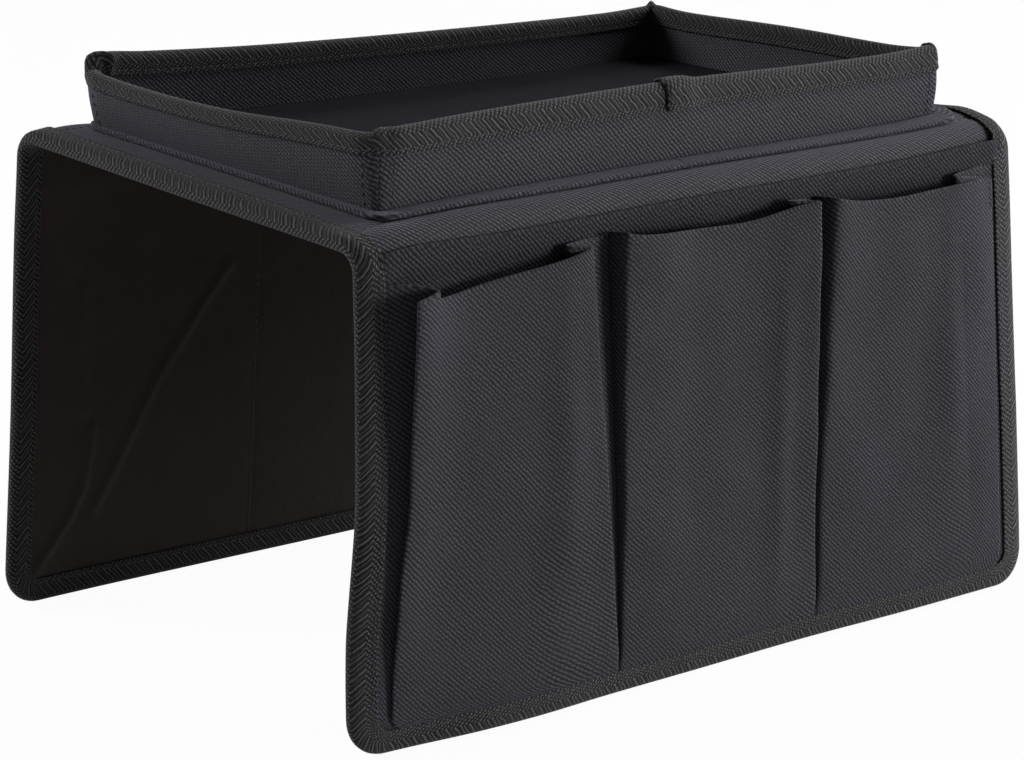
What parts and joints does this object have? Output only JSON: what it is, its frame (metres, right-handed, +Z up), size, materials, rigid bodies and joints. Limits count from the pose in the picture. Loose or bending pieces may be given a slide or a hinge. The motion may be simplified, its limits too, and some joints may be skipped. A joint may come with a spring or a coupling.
{
  "type": "armrest organizer",
  "caption": "Cloth organizer that hangs over an armrest: a shallow walled tray on a board-stiffened top, with a pocketed flap folded down over each side of the arm.",
  "frame": {"origin": "middle of the footprint on the surface that the two flaps stand on", "axes": "+X along the armrest, -Y towards the front flap, +Z up, out of the tray"},
  "size_m": [0.3446, 0.2208, 0.21],
  "materials": {
    "cover_cloth": "charcoal polyester oxford with a diagonal rib, matt",
    "pocket_cloth": "charcoal polyester oxford with a diagonal rib, matt",
    "lining_cloth": "brown-black woven lining, smooth, slightly silky",
    "binding_tape": "grey-black herringbone tape, matt",
    "board": "grey stiffening board"
  },
  "bodies": {
    "top": {"top_cover": "cover_cloth", "top_board": "board", "top_lining": "lining_cloth", "top_left_tape": "binding_tape", "top_right_tape": "binding_tape", "tray_base_cloth": "cover_cloth", "tray_floor_board": "board", "tray_floor_cloth": "cover_cloth", "tray_front_wall": "cover_cloth", "tray_rear_wall": "cover_cloth", "tray_left_wall": "cover_cloth", "tray_right_wall": "cover_cloth", "tray_front_stiffener": "board", "tray_rear_stiffener": "board", "tray_left_stiffener": "board", "tray_right_stiffener": "board", "tray_rim_tape": "binding_tape", "front_bend_cover": "cover_cloth", "front_bend_lining": "lining_cloth", "front_bend_left_tape": "binding_tape", "front_bend_right_tape": "binding_tape", "rear_bend_cover": "cover_cloth", "rear_bend_lining": "lining_cloth", "rear_bend_left_tape": "binding_tape", "rear_bend_right_tape": "binding_tape"},
    "front_flap": {"front_flap_cover": "cover_cloth", "front_flap_board": "board", "front_flap_lining": "lining_cloth", "front_flap_tape": "binding_tape", "front_pocket_backing": "cover_cloth", "front_left_pocket": "pocket_cloth", "front_middle_pocket": "pocket_cloth", "front_right_pocket": "pocket_cloth"},
    "rear_flap": {"rear_flap_cover": "cover_cloth", "rear_flap_board": "board", "rear_flap_lining": "lining_cloth", "rear_flap_tape": "binding_tape", "rear_pocket_backing": "cover_cloth", "rear_left_pocket": "pocket_cloth", "rear_middle_pocket": "pocket_cloth", "rear_right_pocket": "pocket_cloth"}
  },
  "joints": [
    {"name": "front_flap_fold", "type": "hinge", "parent": "top", "child": "front_flap", "pos_m": [0, -0.09008, 0.1765], "axis": [-1, 0, 0], "range_deg": [-28.8, 86.2], "deforming": ["front_bend_cover", "front_bend_lining", "front_bend_left_tape", "front_bend_right_tape"]},
    {"name": "rear_flap_fold", "type": "hinge", "parent": "top", "child": "rear_flap", "pos_m": [0, 0.09292, 0.1765], "axis": [1, 0, 0], "range_deg": [-26.3, 88.7], "deforming": ["rear_bend_cover", "rear_bend_lining", "rear_bend_left_tape", "rear_bend_right_tape"]}
  ]
}
